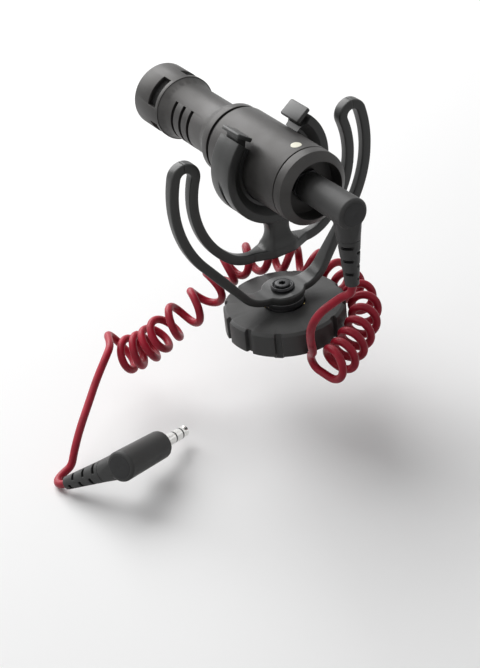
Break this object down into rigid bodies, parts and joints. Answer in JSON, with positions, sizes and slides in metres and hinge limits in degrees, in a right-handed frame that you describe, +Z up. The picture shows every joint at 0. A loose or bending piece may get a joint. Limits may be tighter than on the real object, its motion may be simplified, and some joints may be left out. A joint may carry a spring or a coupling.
{
  "type": "on-camera microphone",
  "caption": "Short shotgun microphone in a lyre shock mount on a shoe clamp, with a curly cord that ends in angled plugs.",
  "frame": {"origin": "middle of the shoe foot's underside, where the camera's shoe holds the part", "axes": "+Y the way the microphone points and the foot slides out of the shoe, +Z up, +X to the right seen from behind"},
  "size_m": [0.1071, 0.0966, 0.0945],
  "materials": {
    "anodised_body": "satin",
    "lyre_plastic": "satin",
    "clamp_plastic": "satin",
    "clamp_metal": "satin",
    "gloss_collar": "glossy",
    "black_steel": "satin",
    "insert_brass": "satin",
    "plug_rubber": "matte",
    "plug_metal": "polished",
    "black_ring": "glossy",
    "screen_mesh": "fine mesh",
    "seal_rubber": "matte",
    "board": "glossy",
    "marker": "matte",
    "cord_red": "satin"
  },
  "bodies": {
    "base": {"shoe_foot": "clamp_metal", "clamp_post": "clamp_metal", "post_collar": "gloss_collar", "lyre_base": "lyre_plastic", "lyre_outer_left": "lyre_plastic", "lyre_outer_right": "lyre_plastic", "screw_washer": "black_steel", "mount_screw": "black_steel", "cord_lead_near": "cord_red", "cord_coil": "cord_red", "cord_lead_far": "cord_red", "far_plug_body": "plug_rubber", "far_plug_relief": "plug_rubber", "far_plug_pin": "plug_metal", "far_plug_rings": "black_ring"},
    "clamp_ring": {"pressure_ring": "clamp_plastic"},
    "wheel": {"thumbwheel": "clamp_plastic", "wheel_insert": "insert_brass"},
    "cradle": {"lyre_inner_left": "lyre_plastic", "lyre_inner_right": "lyre_plastic", "clip_stem": "lyre_plastic", "mic_clip": "lyre_plastic"},
    "microphone": {"head_shell": "anodised_body", "front_grille": "screen_mesh", "neck_tube": "anodised_body", "head_screen": "screen_mesh", "neck_screen": "screen_mesh", "capsule": "plug_metal", "capsule_ring": "seal_rubber", "capsule_wires": "cord_red", "front_seal": "seal_rubber", "body_tube": "anodised_body", "marker_dot": "marker", "rear_cap": "anodised_body", "jack_socket": "black_ring", "jack_nut": "black_steel", "circuit_board": "board"},
    "near_plug": {"near_plug_body": "plug_rubber", "near_plug_relief": "plug_rubber", "near_plug_pin": "plug_metal", "near_plug_rings": "black_ring"}
  },
  "joints": [
    {"name": "clamp_travel", "type": "slide", "parent": "base", "child": "clamp_ring", "axis": [0, 0, 1], "range_m": [0, 0.0012]},
    {"name": "wheel_turn", "type": "hinge", "parent": "clamp_ring", "child": "wheel", "pos_m": [0, 0, 0], "axis": [0, 0, 1], "range_deg": [0, 432]},
    {"name": "cradle_rock", "type": "hinge", "parent": "base", "child": "cradle", "pos_m": [0, 0, 0.06439], "axis": [1, 0, 0], "range_deg": [-5, 5], "stiffness_Nm_per_rad": 0.5, "deforming": ["cord_lead_near"]},
    {"name": "mic_slide", "type": "slide", "parent": "cradle", "child": "microphone", "axis": [0, 1, 0], "range_m": [-0.006, 0.006], "deforming": ["cord_lead_near"]},
    {"name": "plug_turn", "type": "hinge", "parent": "microphone", "child": "near_plug", "pos_m": [0, 0, 0.0562], "axis": [0, 1, 0], "range_deg": [-15, 15], "deforming": ["cord_lead_near"]}
  ],
  "couplings": [
    {"joint": "clamp_travel", "follows": "wheel_turn", "m_per_rad": 0.00015915}
  ]
}
